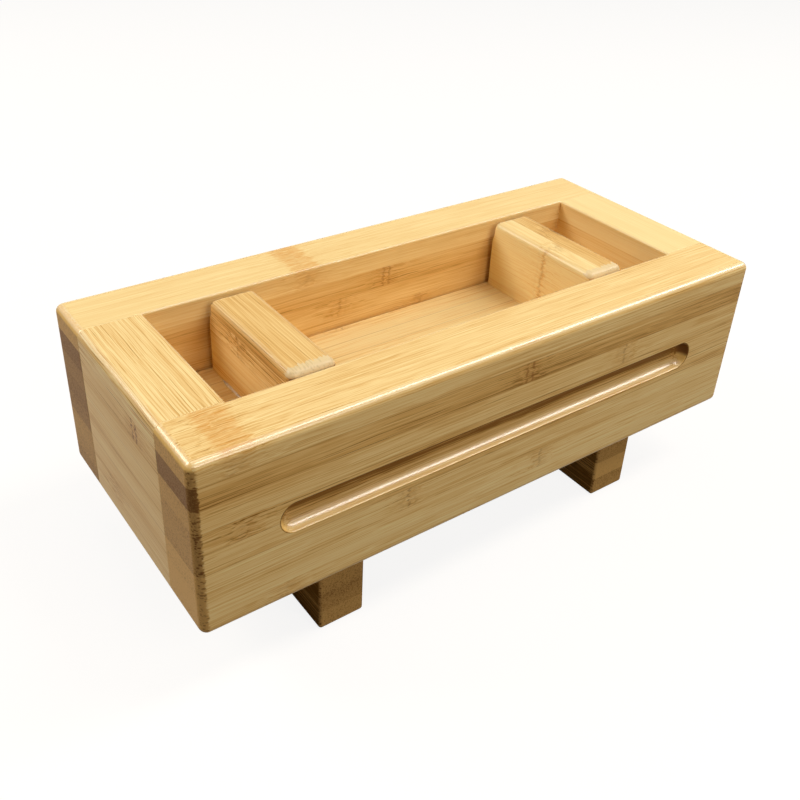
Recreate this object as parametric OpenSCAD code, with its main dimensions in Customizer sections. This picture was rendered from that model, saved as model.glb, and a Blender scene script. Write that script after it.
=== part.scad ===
// Sushi rice press (oshizushi box) of laminated bamboo, in three loose pieces:
//   the base, a plate on two feet, which stands on the table;
//   the frame, four boards glued into a ring, which drops over the base plate and rests on the feet;
//   the press, a plate with two handle bars, which goes down inside the frame.
// Millimetres. +X runs along the box, +Y to the back, +Z up. The origin lies on the table,
// under the middle of the box. The pieces are drawn nested, as the empty box is stored.

/* [Frame] */
// Outside length of the frame
frame_len = 200; // [170:1:300]
// Outside width of the frame, front to back
frame_wid = 89; // [80:1:140]
// Height of the frame
frame_h = 54.6; // [50:0.2:80]
// Thickness of the long front and back boards
side_t = 19; // [15:0.5:22]
// Thickness of the two end boards
end_t = 19; // [15:0.5:22]
// Round-over on the outside edges of the frame
frame_round = 2.4; // [0.5:0.1:4]
// Softened inside edges, round the mouth and the foot of the frame
mouth_round = 0.8; // [0.2:0.1:1.5]

/* [Finger grooves] */
// How far each groove stops short of the ends of its board
groove_inset = 23.2; // [20:0.2:60]
// Diameter of the round-nosed cutter that makes the grooves
groove_cutter_d = 9.2; // [6:0.1:14]
// Depth of each groove below the face of its board
groove_depth = 4.2; // [2:0.1:7]

/* [Base] */
// Thickness of the base plate
base_plate_t = 15.3; // [12:0.1:20]
// Height of the two feet under the plate
foot_h = 24.3; // [15:0.1:40]
// Width of each foot, along the box
foot_wid = 15; // [12:0.5:20]
// How far each foot stops short of the front and back faces of the frame
foot_inset = 5.3; // [2:0.1:12]
// How far the outer side of each foot stands in from the end of the base plate
foot_setback = 18; // [5:0.5:40]
// Eased edges of the feet
foot_round = 1; // [0.3:0.1:2]

/* [Press] */
// Thickness of the press plate
press_plate_t = 15.3; // [12:0.1:20]
// Height of the handle bars above the press plate
handle_h = 24; // [15:0.5:60]
// Width of each handle bar, along the box
handle_wid = 15; // [12:0.5:20]
// How far the outer side of each handle bar stands in from the end of the press plate
handle_setback = 18.5; // [5:0.5:45]
// How far each end of a handle bar stops short of the edge of the press plate
handle_inset = 1.3; // [0.4:0.1:3]
// Round-over on the four top edges of a handle bar
handle_round = 2.4; // [0.5:0.1:4]
// Eased edges of the plates, and of the upright edges of the handle bars
plate_round = 0.6; // [0.2:0.1:1]

/* [Dowels] */
// Diameter of the dowels in the corners of the frame
corner_dowel_d = 8; // [6:0.5:10]
// Length of the corner dowels
corner_dowel_len = 24; // [16:1:26]
// Diameter of the dowels that hold the bars to the plates
bar_dowel_d = 6; // [5:0.5:8]
// Length of the bar dowels
bar_dowel_len = 20; // [14:1:20]
// Distance between the two dowels of a corner, up the joint
corner_dowel_pitch = 30; // [16:1:32]
// Distance between the two dowels of a bar, along the bar
bar_dowel_pitch = 28; // [16:1:32]

/* [Fits] */
// Gap between each plate and the walls of the frame, all round
plate_gap = 0.5; // [0.3:0.1:1]
// Gap between a dowel and its hole, all round, which the glue fills
dowel_gap = 0.05; // [0.02:0.01:0.1]
// Room for glue beyond each end of a dowel
dowel_end_gap = 0.5; // [0.2:0.1:1]

/* [Hidden] */
$fn = 64;

// Heights of the seats, one above the other, from the table up
frame_z = foot_h;
press_z = foot_h + base_plate_t;
handle_z = press_z + press_plate_t;

// The mould, which is the hollow inside the frame
mould_len = frame_len - 2 * end_t;
mould_wid = frame_wid - 2 * side_t;
plate_len = mould_len - 2 * plate_gap;
plate_wid = mould_wid - 2 * plate_gap;

// The bars across the plates: how long they are, and how far apart their centre lines lie
foot_len = frame_wid - 2 * foot_inset;
foot_pitch = plate_len - 2 * foot_setback - foot_wid;
handle_len = plate_wid - 2 * handle_inset;
handle_pitch = plate_len - 2 * handle_setback - handle_wid;

// A corner dowel is centred on the joint, where the end of an end board meets a long board
corner_x = (frame_len - end_t) / 2;
corner_y = mould_wid / 2;

// Colours of the bamboo
bamboo = "#e3bd7a";
bamboo_shaded = "#c99a58";
bamboo_end_grain = "#a67c45";
dowel_wood = "#d9bd8c";

// How far a cutter runs past what it cuts
over = 1;

// A box that stands on z = 0, centred on the Z axis
module block(size) {
    translate([-size[0] / 2, -size[1] / 2, 0]) cube(size);
}

// A rectangle with rounded corners, centred on the origin
module rounded_rectangle(size, r) {
    square([size[0] - 2 * r, size[1]], center = true);
    square([size[0], size[1] - 2 * r], center = true);
    for (x = [-1, 1], y = [-1, 1])
        translate([x * (size[0] / 2 - r), y * (size[1] / 2 - r)]) circle(r = r);
}

// Profile, drawn centred, pushed along X, Y or Z to a length centred on the origin
module along_x(len) {
    rotate([90, 0, 90]) linear_extrude(height = len, center = true) children();
}
module along_y(len) {
    rotate([90, 0, 0]) linear_extrude(height = len, center = true) children();
}
module along_z(len) {
    linear_extrude(height = len, center = true) children();
}

// A block rounded over along its level edges by r and its upright ones by upright_r, on z = 0
module eased_block(size, r, upright_r) {
    translate([0, 0, size[2] / 2]) intersection() {
        along_z(size[2]) rounded_rectangle([size[0], size[1]], upright_r);
        along_x(size[0]) rounded_rectangle([size[1], size[2]], r);
        along_y(size[1]) rounded_rectangle([size[0], size[2]], r);
    }
}

// Section of the mould: a slot whose edges flare by a quarter round at the top and the foot
module flared_slot(wid, h, r) {
    difference() {
        square([wid + 2 * r, h + 2 * over], center = true);
        for (side = [-1, 1]) translate([side * (wid / 2 + r + over / 2), 0])
            rounded_rectangle([2 * r + over, h], r);
    }
}

// The hollow through the frame
module mould_hollow() {
    translate([0, 0, frame_h / 2]) intersection() {
        along_y(frame_wid) flared_slot(mould_len, frame_h, mouth_round);
        along_x(frame_len) flared_slot(mould_wid, frame_h, mouth_round);
    }
}

// The frame in one piece, standing on z = 0, from which the four boards are cut
module frame_ring() {
    difference() {
        eased_block([frame_len, frame_wid, frame_h], frame_round, frame_round);
        mould_hollow();
    }
}

// A groove along the middle of the face at y = 0, with the round ends that its cutter leaves
module finger_groove() {
    r = groove_cutter_d / 2;
    run = frame_len / 2 - groove_inset - r;
    translate([0, groove_depth - r, frame_h / 2]) {
        rotate([0, 90, 0]) cylinder(r = r, h = 2 * run, center = true);
        for (x = [-run, run]) translate([x, 0, 0]) sphere(r = r);
    }
}

// A dowel, or its hole when grown, along Z and centred on the origin
module dowel(d, len, grow = 0, end_grow = 0) {
    cylinder(d = d + 2 * grow, h = len + 2 * end_grow, center = true);
}

// The dowels of the corners at one end of a long board, side = -1 front, 1 back
module corner_dowel_row(side, grow = 0, end_grow = 0) {
    for (end = [-1, 1], level = [-1, 1])
        translate([end * corner_x, side * corner_y, frame_h / 2 + level * corner_dowel_pitch / 2])
            rotate([90, 0, 0]) dowel(corner_dowel_d, corner_dowel_len, grow, end_grow);
}

// The two dowels that stand in a bar whose joint with its plate is at z = 0
module bar_dowel_pair(grow = 0, end_grow = 0) {
    for (y = [-1, 1]) translate([0, y * bar_dowel_pitch / 2, 0])
        dowel(bar_dowel_d, bar_dowel_len, grow, end_grow);
}

// Turns what is drawn at the front round to the back, side = -1 front, 1 back
module turned_to(side) {
    rotate([0, 0, side < 0 ? 0 : 180]) children();
}

// A long board of the frame, side = -1 front, 1 back
module long_board(side) {
    difference() {
        intersection() {
            frame_ring();
            translate([0, side * (frame_wid - side_t) / 2, 0])
                block([frame_len, side_t, frame_h]);
        }
        turned_to(side) translate([0, -frame_wid / 2, 0]) finger_groove();
        corner_dowel_row(side, dowel_gap, dowel_end_gap);
    }
}

// An end board of the frame, side = -1 left, 1 right, held between the long boards
module end_board(side) {
    difference() {
        intersection() {
            frame_ring();
            translate([side * (frame_len - end_t) / 2, 0, 0])
                block([end_t, mould_wid, frame_h]);
        }
        for (y = [-1, 1]) corner_dowel_row(y, dowel_gap, dowel_end_gap);
    }
}

// A plate that fits the mould, standing on z = 0, drilled for the dowels of its two bars
module drilled_plate(t, pitch, joint_z) {
    difference() {
        eased_block([plate_len, plate_wid, t], plate_round, plate_round);
        for (x = [-1, 1]) translate([x * pitch / 2, 0, joint_z])
            bar_dowel_pair(dowel_gap, dowel_end_gap);
    }
}

// A foot, standing on the table, side = -1 left, 1 right
module foot(side) {
    translate([side * foot_pitch / 2, 0, 0]) difference() {
        eased_block([foot_wid, foot_len, foot_h], foot_round, foot_round);
        translate([0, 0, foot_h]) bar_dowel_pair(dowel_gap, dowel_end_gap);
    }
}

// A handle bar on the press plate, side = -1 left, 1 right, square where it is glued down
module handle(side) {
    sunk = 2 * handle_round;
    translate([side * handle_pitch / 2, 0, handle_z]) difference() {
        intersection() {
            block([handle_wid, handle_len, handle_h]);
            translate([0, 0, -sunk])
                eased_block([handle_wid, handle_len, handle_h + sunk], handle_round, plate_round);
        }
        bar_dowel_pair(dowel_gap, dowel_end_gap);
    }
}

module front_board() color(bamboo) translate([0, 0, frame_z]) long_board(-1);
module back_board() color(bamboo) translate([0, 0, frame_z]) long_board(1);
module left_end_board() color(bamboo_shaded) translate([0, 0, frame_z]) end_board(-1);
module right_end_board() color(bamboo_shaded) translate([0, 0, frame_z]) end_board(1);
module corner_dowels() color(dowel_wood) translate([0, 0, frame_z])
    for (side = [-1, 1]) corner_dowel_row(side);

module base_plate() color(bamboo) translate([0, 0, foot_h])
    drilled_plate(base_plate_t, foot_pitch, 0);
module foot_left() color(bamboo_end_grain) foot(-1);
module foot_right() color(bamboo_end_grain) foot(1);
module foot_dowels() color(dowel_wood)
    for (side = [-1, 1]) translate([side * foot_pitch / 2, 0, foot_h]) bar_dowel_pair();

module press_plate() color(bamboo) translate([0, 0, press_z])
    drilled_plate(press_plate_t, handle_pitch, press_plate_t);
module handle_left() color(bamboo_shaded) handle(-1);
module handle_right() color(bamboo_shaded) handle(1);
module handle_dowels() color(dowel_wood)
    for (side = [-1, 1]) translate([side * handle_pitch / 2, 0, handle_z]) bar_dowel_pair();

front_board();
back_board();
left_end_board();
right_end_board();
corner_dowels();
base_plate();
foot_left();
foot_right();
foot_dowels();
press_plate();
handle_left();
handle_right();
handle_dowels();
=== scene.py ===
"""Looks of a sushi rice press (oshizushi box) of laminated bamboo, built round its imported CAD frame.

The press is three loose pieces: a base on two feet, a frame of four boards and a press plate with two
handle bars. Every board is glued up from bamboo strips, and every piece is made here with the softened
edges, the cutter marks and the strips of the real one. Lengths are millimetres until a mesh is finished.
"""

import math
from functools import partial
from itertools import pairwise

import bmesh
import bpy
from bpy.props import FloatProperty, FloatVectorProperty, IntProperty, PointerProperty
from mathutils import Matrix, Vector


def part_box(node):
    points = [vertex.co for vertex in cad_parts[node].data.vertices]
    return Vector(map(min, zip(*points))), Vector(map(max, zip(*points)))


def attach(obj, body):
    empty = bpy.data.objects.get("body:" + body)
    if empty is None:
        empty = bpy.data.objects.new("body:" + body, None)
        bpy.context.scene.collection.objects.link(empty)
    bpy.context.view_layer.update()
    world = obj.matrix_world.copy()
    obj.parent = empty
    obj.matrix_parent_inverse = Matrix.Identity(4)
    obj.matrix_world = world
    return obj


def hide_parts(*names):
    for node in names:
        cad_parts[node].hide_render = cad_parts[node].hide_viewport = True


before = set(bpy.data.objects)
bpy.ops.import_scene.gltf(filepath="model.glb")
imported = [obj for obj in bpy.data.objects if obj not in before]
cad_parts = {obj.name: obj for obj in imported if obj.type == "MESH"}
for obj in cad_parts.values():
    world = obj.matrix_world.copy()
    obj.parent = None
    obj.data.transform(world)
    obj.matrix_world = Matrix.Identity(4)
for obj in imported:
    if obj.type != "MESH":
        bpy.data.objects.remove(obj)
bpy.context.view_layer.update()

bl_info = {
    "name": "Sushi Rice Press",
    "version": (1, 0, 0),
    "blender": (4, 5, 0),
    "location": "View3D > Sidebar > Rice Press",
    "description": "Builds a rice press of laminated bamboo round its packed frame, with its stage",
    "category": "Object",
}

MM = 0.001
X, Y, Z = 0, 1, 2
LOW, HIGH = 0, -1
SAME = 1e-4  # Places closer than this are one, in millimetres


def box_mm(node):
    """Lowest and highest corner of a CAD node, in millimetres."""
    low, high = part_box(node)
    return low / MM, high / MM


FRONT_LOW, FRONT_HIGH = box_mm("front_board")
BACK_LOW, BACK_HIGH = box_mm("back_board")
FRAME_LOW, FRAME_HIGH = FRONT_LOW, Vector((FRONT_HIGH.x, BACK_HIGH.y, FRONT_HIGH.z))
MOULD_HALF_X, MOULD_HALF_Y = box_mm("right_end_board")[0].x, BACK_LOW.y

# One row for each strip of a board, from its lowest to its highest place in the stack: where its
# knuckle lies along the grain, its tone from pale 0 to brown 1, how strongly its fibres show, whether
# its dense outer side faces down (0) or up (1), and how plain the dark ticks of its knuckle are. A
# knuckle that doesn't show lies past the end of its board.
STRIPS = {
    "front_board": [
        (-75.6, 0.27, 0.50, 0, 0.3),
        (13.0, 0.24, 0.50, 1, 0.5),
        (-37.0, 0.30, 0.50, 0, 0.8),
        (150.0, 0.42, 0.50, 0, 0.0),
        (-85.6, 0.42, 0.50, 1, 0.1),
        (44.0, 0.38, 0.45, 1, 0.6),
        (3.8, 0.61, 0.40, 0, 1.2),
        (-87.0, 0.37, 0.50, 1, 0.1),
    ],
    "back_board": [
        (40.0, 0.42, 0.5, 1, 0.4),
        (-60.0, 0.36, 0.5, 0, 0.4),
        (140.0, 0.34, 0.5, 1, 0.4),
        (-10.0, 0.47, 0.4, 1, 0.4),
        (17.8, 0.50, 0.30, 0, 0.3),
        (-15.4, 0.47, 0.28, 1, 0.5),
        (3.0, 0.54, 0.28, 0, 0.9),
        (-27.0, 0.29, 0.30, 1, 0.1),
    ],
    "left_end_board": [
        (120.0, 0.42, 0.40, 0, 0.5),
        (10.0, 0.38, 0.40, 1, 0.2),
        (120.0, 0.42, 0.40, 0, 0.5),
        (-60.0, 0.38, 0.40, 1, 0.5),
        (120.0, 0.38, 0.35, 0, 0.5),
        (120.0, 0.41, 0.35, 1, 0.5),
        (-12.0, 0.44, 0.45, 0, 1.8),
        (120.0, 0.37, 0.75, 1, 0.5),
    ],
    "right_end_board": [
        (120.0, 0.29, 0.40, 0, 0.5),
        (14.0, 0.29, 0.40, 1, 0.4),
        (120.0, 0.27, 0.30, 0, 0.5),
        (-60.0, 0.28, 0.25, 0, 0.4),
        (120.0, 0.27, 0.25, 1, 0.5),
        (120.0, 0.26, 0.25, 0, 0.5),
        (120.0, 0.27, 0.25, 1, 0.5),
        (120.0, 0.19, 0.18, 1, 0.5),
    ],
    "base_plate": [
        (30.0, 0.36, 0.5, 0, 0.5),
        (-60.0, 0.28, 0.5, 1, 0.5),
        (10.0, 0.40, 0.5, 0, 0.5),
        (-20.0, 0.30, 0.5, 1, 0.5),
        (55.0, 0.34, 0.5, 1, 0.5),
        (-44.0, 0.42, 0.5, 0, 0.5),
        (0.0, 0.30, 0.5, 1, 0.5),
        (20.0, 0.36, 0.5, 0, 0.5),
    ],
    "press_plate": [
        (120.0, 0.10, 0.45, 0, 0.5),
        (30.0, 0.08, 0.40, 1, 0.5),
        (120.0, 0.13, 0.45, 0, 0.5),
        (120.0, 0.08, 0.40, 1, 0.5),
        (-50.0, 0.12, 0.45, 1, 0.5),
        (120.0, 0.08, 0.45, 0, 0.5),
        (120.0, 0.11, 0.45, 1, 0.5),
        (-15.5, 0.16, 0.50, 0, 0.5),
    ],
    # The feet's strips are toned near brown: painted shade, for the shadow under the frame
    "foot_left": [
        (90.0, 0.93, 0.50, 0, 0.5),
        (90.0, 0.98, 0.55, 1, 0.5),
        (10.0, 0.94, 0.50, 0, 0.5),
        (90.0, 0.88, 0.50, 1, 0.5),
    ],
    "foot_right": [
        (90.0, 0.94, 0.50, 1, 0.5),
        (-12.0, 0.76, 0.55, 0, 0.5),
        (90.0, 0.94, 0.50, 1, 0.5),
        (90.0, 0.80, 0.50, 0, 0.5),
    ],
    "handle_left": [
        (90.0, 0.24, 0.5, 0, 0.5),
        (90.0, 0.20, 0.4, 1, 0.5),
        (5.5, 0.36, 0.7, 1, 0.5),
        (90.0, 0.60, 0.42, 0, 0.5),
    ],
    "handle_right": [(-2.3, 0.15, 0.35, 0, 0.35), (8.7, 0.52, 0.3, 1, 0.1), (90.0, 0.52, 0.3, 0, 0.1)],
}


# --- Settings that a user would change -------------------------------------------------------------


def linear(code):
    """An sRGB hex colour as linear red, green and blue."""
    channels = [int(code[i : i + 2], 16) / 255 for i in (1, 3, 5)]
    return [c / 12.92 if c <= 0.04045 else ((c + 0.055) / 1.055) ** 2.4 for c in channels]


def length(name, description, millimetres, least=0.0):
    """A length that a user can change."""
    return FloatProperty(
        name=name, description=description, default=millimetres * MM, min=least * MM, unit="LENGTH",
        subtype="DISTANCE",
    )


def colour(name, description, code):
    """A colour that a user can change."""
    return FloatVectorProperty(
        name=name, description=description, default=linear(code), size=3, min=0, max=1, subtype="COLOR"
    )


class PressSizes(bpy.types.PropertyGroup):
    """Round-overs, joints and strips that the boards are made with."""

    frame_round: length("Frame round-over", "Round-over on the outside edges of the frame", 2.4)
    mouth_round: length("Mouth round-over", "Softened edges round the mouth and the foot of the mould", 0.8)
    bar_round: length("Handle round-over", "Round-over on the top edges of the handle bars", 2.4)
    foot_round: length("Foot edges", "Eased edges of the feet", 1.0)
    eased: length("Eased edges", "Eased edges of the plates and upright edges of the handle bars", 0.6)
    groove_lip: length("Groove lip", "Sanded edge round the finger grooves", 0.45)
    seam: length("Joint line", "Depth of the fine line where two boards of the frame meet", 0.05)
    strip: length("Strip thickness", "Thickness of one bamboo strip in the glued stack", 6.825, 1.0)
    round_steps: IntProperty(
        name="Round-over steps", description="Faces across half of a round-over", default=5, min=2, max=12
    )
    groove_radius: length("Groove radius", "Radius of the cutter that made the finger grooves", 4.6, 1.0)
    groove_depth: length("Groove depth", "Depth of the finger grooves, less than their radius", 4.2, 1.0)
    groove_inset: length("Groove inset", "From the end of the frame to the end of a groove", 23.2, 1.0)
    corner_dowel: length("Corner dowel", "Diameter of the dowels in the corners of the frame", 8.0, 1.0)
    bar_dowel: length("Bar dowel", "Diameter of the dowels of the feet and the handle bars", 6.0, 1.0)
    glue_bead: length("Glue bead", "Radius of the bead of dried glue", 0.5, 0.1)
    flutes: IntProperty(
        name="Dowel flutes", description="Glue flutes round a dowel", default=18, min=6, max=40
    )


class PressColours(bpy.types.PropertyGroup):
    """Colours of the bamboo, from its palest fibre to its darkest, and of what lies round it."""

    pale: colour("Pale bamboo", "Soft wood between the fibres", "#FCE4A8")
    honey: colour("Honey bamboo", "Middle tone of the strips", "#F2CF8E")
    caramel: colour("Caramel bamboo", "Dense fibres near the outer skin", "#DDAE66")
    brown: colour("Brown fibre", "Darkest fibres", "#92672E")
    knuckle: colour("Knuckle", "Marks where the cane had its knuckles", "#925828")
    amber: colour("Amber band", "Band along a knuckle on the broad side of a strip", "#DE9A45")
    end_pale: colour("End grain, pale", "Ground between the cut fibres", "#DDB06C")
    end_dark: colour("End grain, dark", "Cut fibres on the ends of the boards", "#82592D")
    # The two sanded-end colours are painted light: the pale that end grain facing up takes under the light
    # from above
    lit_end_golden: colour("Sanded end, golden", "Upper round-over on the ends of the frame", "#F3C878")
    lit_end_cream: colour("Sanded end, cream", "Upper round-over on the ends of the handles", "#EDD4A4")
    glue: colour("Dried glue", "Bead of glue squeezed from a joint", "#F8F0E8")
    dowel: colour("Dowel", "Bamboo of the dowels", "#E3C79A")
    floor: colour("Floor", "Grey of the floor, which the camera sees lifted to white", "#77726B")


# --- Meshes ----------------------------------------------------------------------------------------

MOUTH_STEPS = 2  # Faces across half of the softened edge round the mouth of the mould
BAR_FADE = 6.0  # Height over which the corners of a handle bar grow rounder, in millimetres
BOARD_TURN, DOWEL_TURN = math.radians(38), math.radians(50)  # Edges that turn further stay sharp


def on_axes(axis, along, one, two):
    """Three values as x, y and z: along belongs to the axis, one and two to the two axes that follow it."""
    values = (along, one, two)
    return values[-axis:] + values[:-axis]


def round_lines(edge, inward, radius, steps):
    """Grid lines across half of a round-over, from where it starts to the edge, in even steps of angle."""
    return [edge + inward * radius * (1 - math.tan(math.pi / 4 * k / steps)) for k in range(steps + 1)]


def window_lines(cuts, axis):
    """Grid lines along an axis that the windows of the cuts need."""
    for cut in cuts:
        for turn, centre, half in zip((1, 2), cut["centre"], cut["window"]):
            if (cut["axis"] + turn) % 3 == axis:
                yield from (centre - half, centre + half)


def in_order(places):
    """The places in order, without doubles."""
    found = []
    for place in sorted(places):
        if not found or place - found[-1] > SAME:
            found.append(place)
    return found


def ring_points(centre, run, half_width, count):
    """A closed slot outline: half circles whose centres lie a run to each side, or a circle if run is 0."""
    for k in range(count):
        turn = 2 * math.pi * (k + 0.5) / count
        yield tuple(
            middle + half_width * part + math.copysign(reach, part)
            for middle, reach, part in zip(centre, run, (math.cos(turn), math.sin(turn)))
        )


def timber(lines, cuts, ease):
    """A closed block of grid lines with cuts sunk into its sides, its edges softened by ease(point).

    Lines are the places of the grid lines on each axis. A cut is a dict: axis and end name the side,
    centre, run and window place it there, rings gives its outline of count points as (half width, depth)
    from the face inward, and finish is the material slot of its walls."""
    lines = [in_order([*lines[axis], *window_lines(cuts, axis)]) for axis in (X, Y, Z)]
    bm = bmesh.new()
    points = {}

    def point(key):
        if key not in points:
            points[key] = bm.verts.new([lines[axis][key[axis]] for axis in (X, Y, Z)])
        return points[key]

    def inside(cut, place):
        return all(abs(p - c) < half + SAME for p, c, half in zip(place, cut["centre"], cut["window"]))

    for axis in (X, Y, Z):
        one, two = (list(enumerate(pairwise(lines[(axis + turn) % 3]))) for turn in (1, 2))
        for end in (LOW, HIGH):
            here = [cut for cut in cuts if (cut["axis"], cut["end"]) == (axis, end)]
            index = 0 if end == LOW else len(lines[axis]) - 1
            for i, (a0, a1) in one:
                for j, (b0, b1) in two:
                    if not any(inside(cut, ((a0 + a1) / 2, (b0 + b1) / 2)) for cut in here):
                        corners = ((i, j), (i + 1, j), (i + 1, j + 1), (i, j + 1))
                        bm.faces.new([point(on_axes(axis, index, *corner)) for corner in corners])
            for cut in here:
                sink(bm, lines, point, cut, index)
    bmesh.ops.recalc_face_normals(bm, faces=bm.faces)
    for vert in bm.verts:
        vert.co = ease(vert.co.copy()) * MM
    return bm


def sink(bm, lines, point, cut, index):
    """Fills the window that a cut has in one side of a block, and takes the cut down into it."""
    axis, count, finish = cut["axis"], cut["count"], cut.get("finish", 0)
    inward = 1 if cut["end"] == LOW else -1
    one, two = (
        [k for k, place in enumerate(lines[(axis + turn) % 3]) if abs(place - centre) < half + SAME]
        for turn, centre, half in zip((1, 2), cut["centre"], cut["window"])
    )
    rim = [(i, two[0]) for i in one] + [(one[-1], j) for j in two[1:]]
    rim += [(i, two[-1]) for i in one[-2::-1]] + [(one[0], j) for j in two[-2:0:-1]]
    rings = []
    for half_width, depth in cut["rings"]:
        places = ring_points(cut["centre"], cut.get("run", (0, 0)), half_width, count)
        level = lines[axis][index] + inward * depth
        rings.append([bm.verts.new(on_axes(axis, level, *place)) for place in places])
    edges = []
    for outline in ([point(on_axes(axis, index, *key)) for key in rim], rings[0]):
        for start, end in zip(outline, outline[1:] + outline[:1]):
            edges.append(bm.edges.get((start, end)) or bm.edges.new((start, end)))
    bmesh.ops.triangle_fill(bm, edges=edges, use_beauty=True)
    for upper, lower in pairwise(rings):
        for k in range(count):
            n = (k + 1) % count
            bm.faces.new((upper[k], upper[n], lower[n], lower[k])).material_index = finish
    bm.faces.new(rings[-1]).material_index = finish


def ball_eased(point, low, high, radius):
    """A point of a sharp box, moved as a round-over of that radius moves it, with round corners."""
    inner = Vector([min(max(p, a + radius), b - radius) for p, a, b in zip(point, low, high)])
    out = point - inner
    if not out.length:
        return point
    return inner + out * (max(map(abs, out)) / out.length)


def square_to_round(away, below, radius):
    """Two distances from a pair of faces that meet in an edge, after a round-over of that radius."""
    if max(away, below) >= radius:
        return away, below
    in_away, in_below = radius - away, radius - below
    share = max(in_away, in_below) / math.hypot(in_away, in_below)
    return radius - in_away * share, radius - in_below * share


def frame_eased(point, sizes):
    """A point of the sharp frame on its softened shape: joint lines, outside round-over, and mouth."""
    p = point.copy()
    if abs(abs(p.y) - MOULD_HALF_Y) < SAME and abs(p.x) > MOULD_HALF_X + SAME:
        for axis in (X, Z):
            if p[axis] < FRAME_LOW[axis] + SAME:
                p[axis] += sizes.seam / MM
            elif p[axis] > FRAME_HIGH[axis] - SAME:
                p[axis] -= sizes.seam / MM
    p = ball_eased(p, FRAME_LOW, FRAME_HIGH, sizes.frame_round / MM)
    radius = sizes.mouth_round / MM
    past = [abs(p.x) - MOULD_HALF_X, abs(p.y) - MOULD_HALF_Y]
    away = math.hypot(*[max(distance, 0) for distance in past])
    if away < radius:
        if away < SAME:
            out = Vector([float(abs(distance) < SAME) for distance in past])
        else:
            out = Vector([max(distance, 0) for distance in past])
        out.normalize()
        for edge, inward in ((FRAME_HIGH.z, -1), (FRAME_LOW.z, 1)):
            below = (p.z - edge) * inward
            if below < radius:
                eased_away, eased_below = square_to_round(away, below, radius)
                p.x += math.copysign(out.x, p.x) * (eased_away - away)
                p.y += math.copysign(out.y, p.y) * (eased_away - away)
                p.z = edge + inward * eased_below
    return p


def bar_eased(point, low, high, top_round, side_round):
    """A point of a sharp handle bar on its softened shape: square at its foot, rounder towards its top."""
    up = (point.z - (high.z - top_round - BAR_FADE)) / BAR_FADE
    up = min(max(up, 0), 1)
    radius = side_round + (top_round - side_round) * up * up * (3 - 2 * up)
    deep = Vector((low.x, low.y, low.z - 2 * radius))
    return ball_eased(point, deep, high, radius)


def settle(piece):
    """Turns a piece and its modifiers into a plain mesh."""
    graph = bpy.context.evaluated_depsgraph_get()
    mesh = bpy.data.meshes.new_from_object(piece.evaluated_get(graph), depsgraph=graph)
    mesh.name = piece.name
    piece.modifiers.clear()
    piece.data = mesh


def hand_over(piece, body, nodes):
    """Rides a finished piece on its body, and hides the CAD nodes that it stands in for."""
    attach(piece, body)
    if nodes:
        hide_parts(*nodes)


def finish_board(bm, name, body, node, materials):
    """Makes a piece of a bmesh: smooth round-overs between flat faces, on its body, for its CAD node."""
    mesh = bpy.data.meshes.new(name)
    bm.to_mesh(mesh)
    bm.free()
    for material in materials:
        mesh.materials.append(material)
    mesh.shade_smooth()
    mesh.set_sharp_from_angle(angle=BOARD_TURN)
    piece = bpy.data.objects.new(name, mesh)
    bpy.context.scene.collection.objects.link(piece)
    flat_faces = piece.modifiers.new("Flat faces", "WEIGHTED_NORMAL")
    flat_faces.keep_sharp = True
    flat_faces.weight = 100
    settle(piece)
    hand_over(piece, body, [node])


# --- Nodes -----------------------------------------------------------------------------------------

ALL = "all"  # Asks for every output of a node

# Short names for nodes that are used often: type, settings, the inputs that values fill, and the output
SHORT = {
    "step": ("ShaderNodeMapRange", {"interpolation_type": "SMOOTHSTEP"}, (0, 1, 2, 4), 0),
    "mix": ("ShaderNodeMix", {"data_type": "RGBA"}, (0, 6, 7), 2),
    "noise": ("ShaderNodeTexNoise", {}, ("Vector", "Scale", "Detail", "Roughness"), 0),
    "scaled": ("ShaderNodeVectorMath", {"operation": "MULTIPLY"}, (0, 1), 0),
}


def add(tree, kind, *values, out=None, stops=(), stepped=False, **settings):
    """Adds a node with its settings and links, and gives its output of that name or number, or ALL.

    Kind is a node's type, a short name or a Math operation. A value is a number, a colour or a socket to
    link: values fill the inputs in order, and a dict fills them by name or number. Stops are the (place,
    colour) pairs of a colour ramp. A step rises from 0 to 1, or to its last value, between two places."""
    kind, fixed, order, usual = SHORT.get(kind, (kind, {}, range(len(values)), 0))
    if kind.isupper():
        kind, fixed = "ShaderNodeMath", {"operation": kind}
    node = tree.nodes.new(kind)
    for name, value in (fixed | settings).items():
        setattr(node, name, value)
    inputs = {}
    for name, value in zip(order, values):
        inputs.update(value if isinstance(value, dict) else {name: value})
    for name, value in inputs.items():
        socket = node.inputs[name]
        if isinstance(value, bpy.types.NodeSocket):
            tree.links.new(value, socket)
        elif socket.type == "RGBA":
            socket.default_value = (*value, 1)
        else:
            socket.default_value = value
    if stops:
        node.color_ramp.interpolation = "CONSTANT" if stepped else "LINEAR"
        elements = node.color_ramp.elements
        while len(elements) < len(stops):
            elements.new(0.5)
        for element, (place, colour) in zip(elements, stops):
            element.position = place
            element.color = (*colour, 1) if len(colour) == 3 else colour
    if out == ALL or not node.outputs:
        return node.outputs
    return node.outputs[usual if out is None else out]


def node_group(kind, name, inputs, outputs):
    """An empty node group, and its inputs as sockets. Inputs and outputs are {name: socket kind}."""
    tree = bpy.data.node_groups.new(name, kind)
    for direction, sockets in (("INPUT", inputs), ("OUTPUT", outputs)):
        for label, socket in sockets.items():
            tree.interface.new_socket(label, in_out=direction, socket_type=f"NodeSocket{socket}")
    return tree, add(tree, "NodeGroupInput", out=ALL)


def cleared_tree(owner):
    """The node tree of a material or a world, with nothing in it."""
    owner.use_nodes = True
    owner.node_tree.nodes.clear()
    return owner.node_tree


# --- Materials -------------------------------------------------------------------------------------

PATTERN = "bamboo pattern"
FARTHEST_MARK = 250.0  # A knuckle's place and a contrast are held in a colour as shares of these
STRONGEST_CONTRAST = 2.0


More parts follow.
